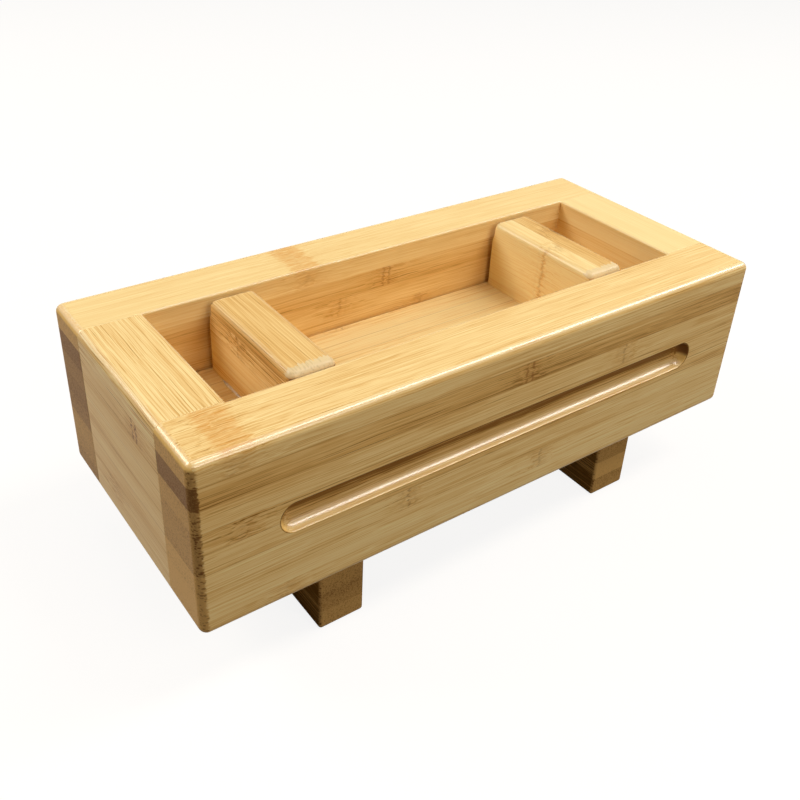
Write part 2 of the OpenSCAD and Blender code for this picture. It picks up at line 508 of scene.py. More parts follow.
def bamboo_pattern(colours, strip):
    """Node group that draws laminated bamboo in millimetres, anywhere in the solid.

    Bundles of fibre run along the grain, so they show as streaks on the long faces and as dots on the
    ends. Each strip is dense and dark at the cane's skin and pale inside, and has one knuckle. Edge
    faces show a strip's thickness, and broad faces its skin."""
    numbers = (
        "Along", "Across", "Stack", "Strip", "Mark", "Tone", "Contrast", "Skin", "Ticks", "End", "Rim", "Up",
        "Broad", "Band", "Flecks", "Glue Line", "End Shift", "Speckle",
    )
    inputs = dict.fromkeys(numbers, "Float") | {"End Top": "Color"}
    tree, given = node_group("ShaderNodeTree", PATTERN, inputs, {"Color": "Color", "Relief": "Float"})
    node = partial(add, tree)
    along, across, stack, broad = given["Along"], given["Across"], given["Stack"], given["Broad"]
    edgewise = node("SUBTRACT", 1, broad)
    # Every strip comes from another cane, so its pattern starts somewhere else
    lot, lot_colour = node("ShaderNodeTexWhiteNoise", {"W": given["Strip"]}, noise_dimensions="1D", out=ALL)
    lot_shift = node("scaled", lot_colour, (60, 60, 60))

    def bell(value, width):
        """1 where the value is 0, falling off over a width."""
        return node("EXPONENT", node("MULTIPLY", node("MULTIPLY", value, value), -1 / width**2))

    def swung(base, noise, amount):
        """The base, moved by the amount times how far the noise is from its middle."""
        return node("MULTIPLY_ADD", node("SUBTRACT", noise, 0.5), amount, base)

    def cane(along_scale, across_scale, section=(across, stack)):
        """Coordinates in the strip's own cane, at so many features to the millimetre."""
        place = node("ShaderNodeCombineXYZ", along, *section)
        scale = (along_scale, across_scale, across_scale)
        return node("ShaderNodeVectorMath", place, scale, lot_shift, operation="MULTIPLY_ADD")

    # How near the strip's knuckle is, over 9 mm and, with a ragged edge, over 3 mm
    ragged = node("noise", cane(0.25, 1.1), 1, 3, 0.6)
    from_mark = node("SUBTRACT", along, given["Mark"])
    ragged_from = swung(from_mark, ragged, 7)
    wide, near = bell(from_mark, 9), bell(ragged_from, 3)
    band = node("step", node("SUBTRACT", node("ABSOLUTE", ragged_from), given["Band"]), 1.0, -1.0)

    # Fibres run nearly straight, and curl where they pass the knuckle
    wander = node("ShaderNodeSeparateXYZ", node("noise", cane(0.05, 0.16), 1, out="Color"), out=ALL)
    curl = node("ShaderNodeSeparateXYZ", node("noise", cane(0.19, 0.12), 1, out="Color"), out=ALL)
    bent = []
    for k, straight in enumerate((across, stack)):
        moved = swung(straight, wander[k], node("MULTIPLY_ADD", wide, 1.6, 0.8))
        bent.append(swung(moved, curl[k], node("MULTIPLY", wide, 1.3)))

    # Fibre lines 0.4 mm apart and finer ones, bands 3 mm apart, clouds 10 mm apart, flecks 0.4 mm wide
    # where the skin was planed, and bundles 0.7 mm apart
    fibres = node("noise", cane(0.014, 2.7, bent), 1, 3, 0.62)
    fine = node("noise", cane(0.03, 3.4, bent), 1, 1, 0.6)
    bands = node("noise", cane(0.009, 0.33, bent), 1)
    cloud = node("noise", cane(0.03, 0.10), 1)
    flecks = node("noise", cane(0.11, 2.5, bent), 1)
    bundles = node("ShaderNodeTexVoronoi", {"Vector": cane(0.008, 1.35, bent), "Scale": 1}, out="Distance")

    # Dense side of the strip: 0 inside the cane, 1 at its skin
    turns = node("FRACT", node("DIVIDE", stack, strip))
    turns_back = node("SUBTRACT", 1, turns)
    skin = node("ShaderNodeMix", {0: given["Skin"], 2: turns_back, 3: turns}, data_type="FLOAT")
    dense = node("POWER", node("MAXIMUM", skin, 0.001), 1.6)
    reach = node("MULTIPLY_ADD", dense, 0.16, 0.28)
    dots = node("step", bundles, node("ADD", reach, 0.16), node("SUBTRACT", reach, 0.10))

    lines, gaps = node("step", fibres, 0.51, 0.64, 0.42), node("step", fibres, 0.49, 0.37, 0.24)
    streaks = node("SUBTRACT", lines, gaps)
    streaks = swung(swung(streaks, fine, 2.0), bands, 0.45)
    fleck_share = node("MULTIPLY", broad, given["Flecks"])
    fleck_share = node("MULTIPLY", fleck_share, node("step", node("ABSOLUTE", from_mark), 75, 20, 0.5))
    streaks = node("MULTIPLY_ADD", node("step", flecks, 0.53, 0.68), fleck_share, streaks)
    contrast = node("MULTIPLY", given["Contrast"], node("MULTIPLY_ADD", wide, 0.15, 1.0))
    tone = node("MULTIPLY_ADD", streaks, contrast, given["Tone"])
    tone = swung(tone, cloud, 0.2)
    for share, amount in ((node("MULTIPLY", dense, edgewise), 0.14), (wide, 0.07), (broad, -0.08)):
        tone = node("MULTIPLY_ADD", share, amount, tone)
    tones = [(0.0, colours.pale), (0.34, colours.honey), (0.68, colours.caramel), (1.0, colours.brown)]
    long_grain = node("ShaderNodeValToRGB", tone, stops=tones)

    # The knuckle: an amber band on a broad face, and on an edge face one row of short dark ticks across
    # the grain, or two rows where they are plain, 2.4 mm apart
    amber = node("MULTIPLY", band, node("MULTIPLY_ADD", broad, 0.45, 0.10))
    amber = node("MULTIPLY", amber, node("MULTIPLY_ADD", node("step", flecks, 0.40, 0.58), 0.7, 0.3))
    banded = node("mix", amber, long_grain, colours.amber)
    wobble = node("noise", cane(0.02, 0.95), 1)
    two = node("GREATER_THAN", given["Ticks"], 0.9)
    across_knuckle = swung(from_mark, wobble, node("MULTIPLY_ADD", two, -1.0, 3.6))
    turn = node("MULTIPLY", across_knuckle, math.tau / 2.4)
    turn = node("MULTIPLY_ADD", node("SUBTRACT", 1, two), math.pi, turn)
    rows = node("step", node("COSINE", turn), 0.1, -0.8)
    ticks = node("MULTIPLY", rows, bell(across_knuckle, 2.0))
    ticks = node("MULTIPLY", ticks, node("step", ragged, 0.36, 0.50))
    smudge = node("MULTIPLY", near, node("step", ragged, 0.42, 0.70, 0.42))
    smudge = node("MULTIPLY", smudge, node("MULTIPLY_ADD", broad, -0.5, 0.72))
    mark = node("MAXIMUM", node("MULTIPLY", node("MULTIPLY", ticks, given["Ticks"]), 0.66), smudge)
    marked = node("mix", mark, banded, colours.knuckle)

    # The glue line between two strips, 0.26 mm wide, plain on some and hardly there on others
    border = node("MULTIPLY", node("MINIMUM", turns, turns_back), strip)
    line = node("MULTIPLY", node("step", border, 0.22, 0.04), node("MULTIPLY_ADD", lot, 0.34, 0.06))
    line = node("MULTIPLY", line, given["Glue Line"])
    jointed = node("mix", node("MULTIPLY", line, edgewise), marked, colours.knuckle)

    # Ends: cut bundles as dark dots on a ground that follows the strip's tone, darkest on upright
    # round-overs, where the lacquer soaks in. Where they face up they take a pale colour, painted light
    # from above, with fewer dots where they were sanded smooth
    ends_tone = swung(node("MULTIPLY_ADD", given["Tone"], 2.4, given["End Shift"]), fine, 0.9)
    dot_depth = node("MULTIPLY_ADD", given["Contrast"], 0.35, 0.05)
    ends_tone = node("MULTIPLY_ADD", dots, dot_depth, ends_tone)
    ends_tone = node("MULTIPLY_ADD", given["Rim"], node("MULTIPLY_ADD", dots, 0.34, 0.06), ends_tone)
    tones = [(0.1, colours.end_pale), (1.0, colours.end_dark)]
    end_grain = node("ShaderNodeValToRGB", ends_tone, stops=tones)
    # Painted light: an end that faces up takes the pale End Top colour, as if lit from above, with fewer
    # dots
    sanded = node("mix", node("MULTIPLY_ADD", dots, given["Speckle"], 0.04), given["End Top"], end_grain)
    end_grain = node("mix", given["Up"], end_grain, sanded)
    colour = node("mix", given["End"], jointed, end_grain)
    relief = node("MULTIPLY_ADD", dots, -0.25, fibres)
    relief = node("SUBTRACT", relief, node("MULTIPLY_ADD", mark, 0.2, line))
    node("NodeGroupOutput", {"Color": colour, "Relief": relief})
    return tree


def laminated_bamboo(
    scene, board, grain, stack, reach=(0.0, 0.0), far_end=1.0, end_top=None, end_shift=-0.42, speckle=0.1,
    band=4.4, flecks=0.3, glue_line=1.0, scorch_and_shade=0.0, gloss=0.30, lustre=0.03, coat=0.8, rubbed=0.45,
):
    """Laminated bamboo, glued up from strips, planed, sanded and lacquered: satin, with a soft broad shine.

    Reach is how far its end grain comes round the ends on the sides and on top, in millimetres, and
    far_end how many times less far at the far end. End_top is the colour of ends that face up, a pale
    that is painted light from above, and end_shift makes the others darker than their strips, or paler
    where it is below 0. Band is half the width of a knuckle on a broad face, in millimetres. Speckle,
    flecks and glue_line are how plain those are. Scorch is how much browner its faces grow: a little
    everywhere, the scorch of a cutter, and most where they don't face up, painted shade as under the lip
    of a groove. Gloss is the roughness of its faces and lustre how far they mirror. Coat is the shine of
    round faces that were rubbed smooth, which are those that face up more than rubbed."""
    low, high = box_mm(board)
    colours, strip, rows = scene.press_colours, scene.press_sizes.strip / MM, STRIPS[board]
    material = bpy.data.materials.new(f"laminated bamboo, {board.replace('_', ' ')}")
    tree = cleared_tree(material)
    node = partial(add, tree)
    place = node("ShaderNodeTexCoord", out=ALL)
    point = node("ShaderNodeSeparateXYZ", node("scaled", place["Object"], (1 / MM,) * 3), out=ALL)
    normal = node("ShaderNodeSeparateXYZ", place["Normal"], out=ALL)
    height = node("SUBTRACT", point[stack], low[stack])
    number = node("FLOOR", node("DIVIDE", height, strip))
    share = node("DIVIDE", node("ADD", number, 0.5), len(rows))
    # Each strip's row of the table, as one stop of two stepped ramps
    looks, knuckles = [], []
    for k, (mark, row_tone, contrast, skin, ticks) in enumerate(rows):
        mark_share = (mark + FARTHEST_MARK) / (2 * FARTHEST_MARK)
        looks.append((k / len(rows), (mark_share, row_tone, contrast / STRONGEST_CONTRAST, skin)))
        knuckles.append((k / len(rows), (ticks, ticks, ticks)))
    strip_look, strip_skin = node("ShaderNodeValToRGB", share, stops=looks, stepped=True, out=ALL)
    strip_ticks = node("ShaderNodeValToRGB", share, stops=knuckles, stepped=True)
    strip_mark, strip_tone, strip_contrast = node("ShaderNodeSeparateColor", strip_look, out=ALL)
    seed = float(sum(ord(letter) for letter in board) % 97)

    # End grain: where a face turns across the grain, and near the ends, with a border as ragged as fibres
    turned = node("ABSOLUTE", normal[grain])
    stretch = [k / MM for k in on_axes(grain, 0.3, 1.3, 1.3)]
    teeth = node("SUBTRACT", node("noise", node("scaled", place["Object"], stretch), 1), 0.5)
    end = node("step", node("MULTIPLY_ADD", teeth, 0.3, turned), 0.5, 0.7)
    up = node("step", normal[Z], 0.06, 0.40)
    upright = node("SUBTRACT", 1, up)
    if any(reach):
        from_far_end = node("MULTIPLY", node("SUBTRACT", high[grain], point[grain]), far_end)
        from_end = node("MINIMUM", node("SUBTRACT", point[grain], low[grain]), from_far_end)
        reached = node("MULTIPLY_ADD", up, reach[1] - reach[0], reach[0])
        ragged = node("MULTIPLY", node("MULTIPLY_ADD", teeth, -1.3, 1), reached)
        end = node("MAXIMUM", end, node("step", node("SUBTRACT", ragged, from_end), -0.2, 0.2))
    # Painted shade: faces that don't face up, such as the ceiling of a groove, grow browner by the scorch
    # amount; a fifth of it goes on every face, as the cutter's scorch
    brown = node("MULTIPLY_ADD", node("step", normal[Z], 0.62, 0.0), 0.8, 0.2)
    inputs = {
        "Along": point[grain],
        "Across": point[3 - grain - stack],
        "Stack": height,
        "Strip": node("MULTIPLY_ADD", number, 3.7, seed),
        "Mark": node("MULTIPLY_ADD", strip_mark, 2 * FARTHEST_MARK, -FARTHEST_MARK),
        "Tone": node("MULTIPLY_ADD", brown, scorch_and_shade, strip_tone),
        "Contrast": node("MULTIPLY", strip_contrast, STRONGEST_CONTRAST),
        "Skin": strip_skin,
        "Ticks": strip_ticks,
        "End": end,
        "Rim": node("MULTIPLY", node("step", turned, 0.985, 0.8), upright),
        "Up": up,
        "Broad": node("step", node("ABSOLUTE", normal[stack]), 0.35, 0.8),
        "Band": band,
        "Flecks": flecks,
        "Glue Line": glue_line,
        "End Shift": end_shift,
        "Speckle": speckle,
        "End Top": end_top or colours.lit_end_golden,
    }
    pattern = bpy.data.node_groups.get(PATTERN) or bamboo_pattern(colours, strip)
    colour, relief = node("ShaderNodeGroup", inputs, node_tree=pattern, out=ALL)
    # Upper round-overs and the floor of a groove are rubbed smooth, and shine more than the planed faces
    risen = node("step", normal[Z], rubbed, rubbed + 0.2)
    polished = node("MULTIPLY", risen, node("step", normal[Z], 0.998, 0.97))
    dull = node("MULTIPLY_ADD", relief, -0.1, gloss + 0.05)
    look = {
        "Base Color": colour,
        "Roughness": node("MULTIPLY_ADD", node("MULTIPLY", end, upright), 0.12, dull),
        "IOR": 1.45,
        "Specular IOR Level": lustre,
        "Coat Weight": node("MULTIPLY", polished, coat),
        "Coat Roughness": gloss - 0.05,
        "Coat IOR": 1.8,
        "Normal": node("ShaderNodeBump", {"Height": relief, "Strength": 0.25, "Distance": 0.06 * MM}),
    }
    node("ShaderNodeOutputMaterial", {"Surface": node("ShaderNodeBsdfPrincipled", look)})
    return material


def turned_bamboo(colour, axis):
    """Bamboo, turned and left bare: pale tan, with cut fibres as short dark flecks along the grain."""
    material = bpy.data.materials.new(f"turned bamboo, {'xyz'[axis]}")
    node = partial(add, cleared_tree(material))
    place = node("ShaderNodeTexCoord", out="Object")
    # Flecks 0.4 mm wide and 3 mm long, and soft bands 2 mm apart
    flecks = node("noise", node("scaled", place, on_axes(axis, 330, 2500, 2500)), 1)
    bands = node("noise", node("scaled", place, on_axes(axis, 12, 500, 500)), 1)
    tone = node("MULTIPLY_ADD", bands, 0.6, flecks)
    tint = node("ShaderNodeValToRGB", tone, stops=[(0.55, [c * 0.62 for c in colour]), (0.85, colour)])
    bump = node("ShaderNodeBump", {"Height": flecks, "Strength": 0.2, "Distance": 0.05 * MM})
    shader = node("ShaderNodeBsdfPrincipled", {"Base Color": tint, "Roughness": 0.6, "Normal": bump})
    node("ShaderNodeOutputMaterial", {"Surface": shader})
    return material


def dried_glue(colour):
    """Dried white wood glue: milky and smooth, with a wet-looking shine and a few cloudy spots."""
    material = bpy.data.materials.new("dried wood glue")
    node = partial(add, cleared_tree(material))
    # Spots 0.7 mm apart
    spots = node("noise", node("ShaderNodeTexCoord", out="Object"), 1500)
    tint = node("ShaderNodeValToRGB", spots, stops=[(0.35, [c * 0.8 for c in colour]), (0.6, colour)])
    shader = node("ShaderNodeBsdfPrincipled", {"Base Color": tint, "Roughness": 0.25, "IOR": 1.46})
    node("ShaderNodeOutputMaterial", {"Surface": shader})
    return material


# --- Geometry Nodes --------------------------------------------------------------------------------


def dowel_tree():
    """Fluted dowels with tapered ends, one on each point, each rolled to its own angle."""
    inputs = {
        "Geometry": "Geometry", "Diameter": "Float", "Length": "Float", "Flutes": "Int",
        "Flute Depth": "Float", "Taper": "Float", "Turn": "Rotation", "Seed": "Int", "Material": "Material",
    }
    tree, given = node_group("GeometryNodeTree", "fluted dowels", inputs, {"Geometry": "Geometry"})
    node = partial(add, tree)
    radius, length = node("MULTIPLY", given["Diameter"], 0.5), given["Length"]
    round_count = node("MULTIPLY", given["Flutes"], 4)
    rod = {"Vertices": round_count, "Side Segments": 12, "Radius": radius, "Depth": length}
    rod = node("GeometryNodeMeshCylinder", rod)
    x, y, z = node("ShaderNodeSeparateXYZ", node("GeometryNodeInputPosition"), out=ALL)
    wave = node("COSINE", node("MULTIPLY", node("ARCTAN2", y, x), given["Flutes"]))
    cut = node("MULTIPLY", node("MULTIPLY_ADD", wave, 0.5, 0.5), given["Flute Depth"])
    at_end = node("GREATER_THAN", node("ABSOLUTE", z), node("MULTIPLY", length, 0.49))
    cut = node("MULTIPLY_ADD", at_end, given["Taper"], cut)
    share = node("SUBTRACT", 1, node("DIVIDE", cut, radius))
    shaped = node("ShaderNodeCombineXYZ", node("MULTIPLY", x, share), node("MULTIPLY", y, share), z)
    dowel = node("GeometryNodeSetPosition", {"Geometry": rod, "Position": shaped})
    points = node("GeometryNodeMeshToPoints", {"Mesh": given["Geometry"]})
    placed = {"Points": points, "Instance": dowel, "Rotation": given["Turn"]}
    placed = node("GeometryNodeInstanceOnPoints", placed)
    roll = {2: 0.0, 3: math.tau, "Seed": given["Seed"]}
    roll = node("FunctionNodeRandomValue", roll, data_type="FLOAT", out=1)
    roll = node("ShaderNodeCombineXYZ", {"Z": roll})
    rolled = {"Instances": placed, "Rotation": roll, "Local Space": True}
    close_tree(tree, node("GeometryNodeRotateInstances", rolled), given["Material"])
    return tree


def bead_tree():
    """A bead squeezed out along a path, now thicker and now thinner, and a little unsteady."""
    inputs = {
        "Geometry": "Geometry", "Radius": "Float", "Lump Spacing": "Float", "Wander": "Float",
        "Seed": "Float", "Material": "Material",
    }
    tree, given = node_group("GeometryNodeTree", "squeezed bead", inputs, {"Geometry": "Geometry"})
    node = partial(add, tree)
    path = node("GeometryNodeMeshToCurve", {"Mesh": given["Geometry"]})
    path = node("GeometryNodeResampleCurve", {"Curve": path, "Count": 90})
    scale = node("DIVIDE", 1, given["Lump Spacing"])
    lumps = {"Vector": node("GeometryNodeInputPosition"), "W": given["Seed"], "Scale": scale}
    size, drift = node("ShaderNodeTexNoise", lumps, noise_dimensions="4D", out=ALL)
    off = node("ShaderNodeVectorMath", drift, (0.5, 0.5, 0.5), operation="SUBTRACT")
    off = node("ShaderNodeVectorMath", {0: off, "Scale": given["Wander"]}, operation="SCALE")
    path = node("GeometryNodeSetPosition", {"Geometry": path, "Offset": off})
    # It thins to nothing at both ends
    along = node("GeometryNodeSplineParameter", out="Factor")
    from_end = node("MINIMUM", along, node("SUBTRACT", 1, along))
    fade = node("SQRT", node("MINIMUM", node("MULTIPLY", from_end, 14), 1))
    swell = node("MULTIPLY", node("MULTIPLY_ADD", size, 1.4, 0.3), node("MAXIMUM", fade, 0.05))
    ring = node("GeometryNodeCurvePrimitiveCircle", {"Resolution": 10, "Radius": given["Radius"]})
    bead = {"Curve": path, "Profile Curve": ring, "Scale": swell, "Fill Caps": True}
    close_tree(tree, node("GeometryNodeCurveToMesh", bead), given["Material"])
    return tree


def close_tree(tree, geometry, material):
    """Ends a tree: instances made real, and the material set."""
    real = add(tree, "GeometryNodeRealizeInstances", {"Geometry": geometry})
    done = add(tree, "GeometryNodeSetMaterial", {"Geometry": real, "Material": material})
    add(tree, "NodeGroupOutput", {"Geometry": done})


def grow(name, points, edges, tree, settings, body, nodes=()):
    """Runs a tree on points given in millimetres, keeps the result as a plain mesh, and hands it over."""
    mesh = bpy.data.meshes.new(name)
    mesh.from_pydata([[v * MM for v in point] for point in points], edges, [])
    piece = bpy.data.objects.new(name, mesh)
    bpy.context.scene.collection.objects.link(piece)
    grown = piece.modifiers.new(name, "NODES")
    grown.node_group = tree
    for item in tree.interface.items_tree:
        if item.in_out == "INPUT" and item.name in settings:
            grown[item.identifier] = settings[item.name]
    settle(piece)
    piece.data.shade_smooth()
    piece.data.set_sharp_from_angle(angle=DOWEL_TURN)
    hand_over(piece, body, nodes)


# --- Dowels and their holes ------------------------------------------------------------------------

DOWEL_FIT, DOWEL_ROOM = 0.05, 0.5  # Room round a dowel in its hole, and past its end, in millimetres
HOLE_RIM, HOLE_BORDER = 0.25, 1.2  # The opened rim of a hole, and the grid round it, in millimetres
FLUTE_SHARE, TAPER_SHARE = 0.03, 0.08  # Shares of a dowel's diameter


def dowel_length(node, axis):
    """Length of the dowels of a CAD node in millimetres: the corner dowels stand in two rows."""
    low, high = box_mm(node)
    return high.z - low.z if axis == Z else (high.y - MOULD_HALF_Y) * 2


def dowel_centres(node, axis, diameter):
    """Centres of the dowels of a CAD node, in millimetres: one inside each corner of its box."""
    low, high = box_mm(node)
    radius = diameter / MM / 2
    half = on_axes(axis, dowel_length(node, axis) / 2, radius, radius)
    inner = [(a + h, b - h) for a, b, h in zip(low, high, half)]
    return sorted({(x, y, z) for x in inner[X] for y in inner[Y] for z in inner[Z]})


def dowel_holes(node, axis, diameter, end, sides=None):
    """Cuts for the dowels of a CAD node, in a board that they enter at that end of its axis.

    Sides maps an axis to the side of the middle, -1 or 1, that the board is on."""
    radius = diameter / MM / 2 + DOWEL_FIT
    depth = dowel_length(node, axis) / 2 + DOWEL_ROOM
    return [
        {
            "axis": axis, "end": end, "centre": (place[(axis + 1) % 3], place[(axis + 2) % 3]),
            "window": (radius + HOLE_BORDER, radius + HOLE_BORDER), "count": 24,
            "rings": [(radius + HOLE_RIM, 0), (radius, HOLE_RIM), (radius, depth)],
        }
        for place in dowel_centres(node, axis, diameter)
        if all(place[k] * side > 0 for k, side in (sides or {}).items())
    ]


# --- Operators, one for each group of pieces -------------------------------------------------------

JOINT_GUARD = 0.2  # From a joint line to the grid line that keeps it fine, in millimetres
LIP_STEPS, FLOOR_STEPS = 4, 14  # Rings of a finger groove over its sanded lip and down to its floor
GROOVE_SWEEP, GROOVE_STOP = 76, 0.6  # Degrees that the floor's rings take up, and where the last one is


class PRESS_OT_frame_boards(bpy.types.Operator):
    """Makes the four boards of the frame, with finger grooves in the long ones"""

    bl_idname = "press.frame_boards"
    bl_label = "Frame Boards"

    def execute(self, context):
        scene, sizes = context.scene, context.scene.press_sizes
        outer, mouth, steps = sizes.frame_round / MM, sizes.mouth_round / MM, sizes.round_steps
        dowels = partial(dowel_holes, "corner_dowels", Y, sizes.corner_dowel)
        along, up = {}, []
        for side in (-1, 1):
            along[side] = round_lines(side * FRAME_HIGH.x, -side, outer, steps)
            along[side] += round_lines(side * MOULD_HALF_X, side, mouth, MOUTH_STEPS)
        for edge, inward in ((FRAME_LOW.z, 1), (FRAME_HIGH.z, -1)):
            up += round_lines(edge, inward, outer, steps) + round_lines(edge, inward, mouth, MOUTH_STEPS)

        for side, node, end, glue_line, end_shift in (
            (-1, "front_board", HIGH, 0.8, -0.6), (1, "back_board", LOW, 0.3, -0.42)
        ):
            wall = side * MOULD_HALF_Y
            across = round_lines(side * FRAME_HIGH.y, -side, outer, steps)
            across += [*round_lines(wall, side, mouth, MOUTH_STEPS), wall + side * JOINT_GUARD]
            cuts = [*dowels(end, {Y: side}), self.finger_groove(side, sizes)]
            bm = timber([along[-1] + along[1], across, up], cuts, lambda p: frame_eased(p, sizes))
            planed = laminated_bamboo(
                scene, node, X, Z, reach=(1.9, 1.6), flecks=1.0, coat=1.0, glue_line=glue_line,
                end_shift=end_shift,
            )
            # The groove: browned a little by its cutter, and with painted shade on the faces under its lip
            routed = laminated_bamboo(scene, node, X, Z, gloss=0.26, rubbed=0.64, coat=1.0, scorch_and_shade=0.62)
            routed.name = f"{planed.name}, groove"
            name = node.replace("_board", "_plank")
            finish_board(bm, name, "frame", node, [planed, routed])

        for side, node, glue_line, coat in (
            (-1, "left_end_board", 1.2, 0.6), (1, "right_end_board", 0.15, 0.3)
        ):
            across = [share * MOULD_HALF_Y for share in (-1, -0.5, 0, 0.5, 1)]
            across += [end * (MOULD_HALF_Y - JOINT_GUARD) for end in (-1, 1)]
            cuts = dowels(LOW, {X: side, Y: -1}) + dowels(HIGH, {X: side, Y: 1})
            bm = timber([along[side], across, up], cuts, lambda p: frame_eased(p, sizes))
            planed = laminated_bamboo(scene, node, Y, Z, flecks=0.1, glue_line=glue_line, coat=coat)
            name = node.replace("_board", "_plank")
            finish_board(bm, name, "frame", node, [planed])
        return {"FINISHED"}

    def finger_groove(self, side, sizes):
        """The cut of a round-nosed cutter: a round channel with round ends and a sanded lip."""
        cutter, deep, lip = sizes.groove_radius / MM, sizes.groove_depth / MM, sizes.groove_lip / MM
        middle, run = (FRAME_LOW.z + FRAME_HIGH.z) / 2, FRAME_HIGH.x - sizes.groove_inset / MM - cutter
        off_face = cutter - deep
        open_half = math.sqrt(cutter**2 - off_face**2)
        rings = []
        for k in range(LIP_STEPS + 1):
            turn = math.pi / 2 * k / LIP_STEPS
            rings.append((open_half + lip * (1 - math.sin(turn)), lip * (1 - math.cos(turn))))
        for k in range(1, FLOOR_STEPS + 1):
            turn = math.radians(GROOVE_SWEEP * (1 - k / FLOOR_STEPS) + GROOVE_STOP)
            rings.append((cutter * math.sin(turn), cutter * math.cos(turn) - off_face))
        return {
            "axis": Y, "end": LOW if side < 0 else HIGH, "centre": (middle, 0.0), "run": (0.0, run),
            "window": (cutter + 2, run + cutter + 2), "count": 48, "rings": rings, "finish": 1,
        }


def plain_bar(scene, node, name, body, slot, cuts, edge_round, top_round=0.0, **finish):
    """A plate, foot or handle bar: a block with holes for its dowels and softened edges.

    A handle bar has a top round-over, and its upright corners grow from the one radius to the other."""
    low, high = box_mm(node)
    steps = max(2, scene.press_sizes.round_steps - 1)
    lines = [[low[axis], high[axis]] for axis in (X, Y, Z)]
    for axis, places in enumerate(lines):
        radii = (edge_round, top_round) if top_round else (edge_round,)
        rounds = [(edge, inward, r) for r in radii for edge, inward in ((low[axis], 1), (high[axis], -1))]
        if axis == Z and top_round:
            rounds = [(high.z, -1, top_round), (high.z - top_round, -1, BAR_FADE)]
        for edge, inward, radius in rounds:
            places += round_lines(edge, inward, radius, steps)

    def ease(point):
        if top_round:
            return bar_eased(point, low, high, top_round, edge_round)
        return ball_eased(point, low, high, edge_round)

    material = laminated_bamboo(scene, node, **finish)
    finish_board(timber(lines, cuts, ease), name, body, node, [material])


class PRESS_OT_base(bpy.types.Operator):
    """Makes the base plate and the two feet it stands on"""

    bl_idname = "press.base"
    bl_label = "Base"

    def execute(self, context):
        scene, sizes = context.scene, context.scene.press_sizes
        dowels = partial(dowel_holes, "foot_dowels", Z, sizes.bar_dowel)
        plain_bar(
            scene, "base_plate", "base_slab", "base", "bamboo_base", dowels(LOW), sizes.eased / MM,
            grain=X, stack=Y, reach=(0.3, 0.3),
        )
        for node, name, side in (("foot_left", "foot_bar_left", -1), ("foot_right", "foot_bar_right", 1)):
            # The feet's near-brown strips are painted shade under the frame; end_shift keeps their end grain
            # out of it
            plain_bar(
                scene, node, name, "base", "bamboo_base", dowels(HIGH, {X: side}), sizes.foot_round / MM,
                grain=Y, stack=Z, reach=(0.7, 0.7), end_shift=-1.84, lustre=0.0,
            )
        return {"FINISHED"}


class PRESS_OT_press(bpy.types.Operator):
    """Makes the press plate and its two handle bars"""

    bl_idname = "press.press"
    bl_label = "Press"

    def execute(self, context):
        scene, sizes = context.scene, context.scene.press_sizes
        dowels = partial(dowel_holes, "handle_dowels", Z, sizes.bar_dowel)
        plain_bar(
            scene, "press_plate", "press_slab", "press", "bamboo_press", dowels(HIGH), sizes.eased / MM,
            grain=X, stack=Y, reach=(0.3, 0.3),
        )
        for node, name, stack, side in (
            ("handle_left", "handle_bar_left", Z, -1), ("handle_right", "handle_bar_right", X, 1)
        ):
            plain_bar(
                scene, node, name, "press", "bamboo_press", dowels(LOW, {X: side}), sizes.eased / MM,
                sizes.bar_round / MM, grain=Y, stack=stack, reach=(0.3, 3.2), far_end=3.0, band=0.8,
                end_top=scene.press_colours.lit_end_cream, speckle=0.14, glue_line=0.5, coat=0.3,
            )
        return {"FINISHED"}


class PRESS_OT_dowels(bpy.types.Operator):
    """Makes the fluted dowels that hold the boards, the feet and the handle bars"""

    bl_idname = "press.dowels"
    bl_label = "Dowels"

    def execute(self, context):
        scene, sizes = context.scene, context.scene.press_sizes
        tree = dowel_tree()
        for node, name, diameter, axis, seed, body in (
            ("corner_dowels", "corner_pins", sizes.corner_dowel, Y, 3, "frame"),
            ("foot_dowels", "foot_pins", sizes.bar_dowel, Z, 5, "base"),
            ("handle_dowels", "handle_pins", sizes.bar_dowel, Z, 8, "press"),
        ):
            settings = {
                "Diameter": diameter,
                "Length": dowel_length(node, axis) * MM,
                "Flutes": sizes.flutes,
                "Flute Depth": diameter * FLUTE_SHARE,
                "Taper": diameter * TAPER_SHARE,
                "Turn": (math.pi / 2 if axis == Y else 0.0, 0.0, 0.0),
                "Seed": seed,
                "Material": turned_bamboo(scene.press_colours.dowel, axis),
            }
            centres = dowel_centres(node, axis, diameter)
            grow(name, centres, [], tree, settings, body, [node])
        return {"FINISHED"}


class PRESS_OT_glue(bpy.types.Operator):
    """Makes the bead of dried glue along the foot of the left handle bar"""

    bl_idname = "press.glue"
    bl_label = "Glue Bead"

    def execute(self, context):
        scene = context.scene
        low, high = box_mm("handle_left")
        # It sits in the corner under the bar, and stops short of the bar's ends
        path = [(low.x - 0.1, y, low.z + 0.1) for y in (low.y + 0.4, low.y / 2, 0.0, high.y * 0.7)]
        settings = {
            "Radius": scene.press_sizes.glue_bead, "Lump Spacing": 4 * MM, "Wander": 0.35 * MM, "Seed": 2.0,
            "Material": dried_glue(scene.press_colours.glue),
        }
        grow("glue_bead", path, [(0, 1), (1, 2), (2, 3)], bead_tree(), settings, "press")
        return {"FINISHED"}


# --- The stage -------------------------------------------------------------------------------------

# The photograph's camera, worked out from the edges of the press: millimetres, degrees and pixels
PHOTO_SIDE = 800
CAMERA_PLACE = (-162.87, -203.48, 213.38)
AZIMUTH, ELEVATION, ROLL = (math.radians(degrees) for degrees in (37.0998, 31.5456, 2.8811))
FOCAL_LENGTH, CENTRE_ROW = 953.35, 350.51

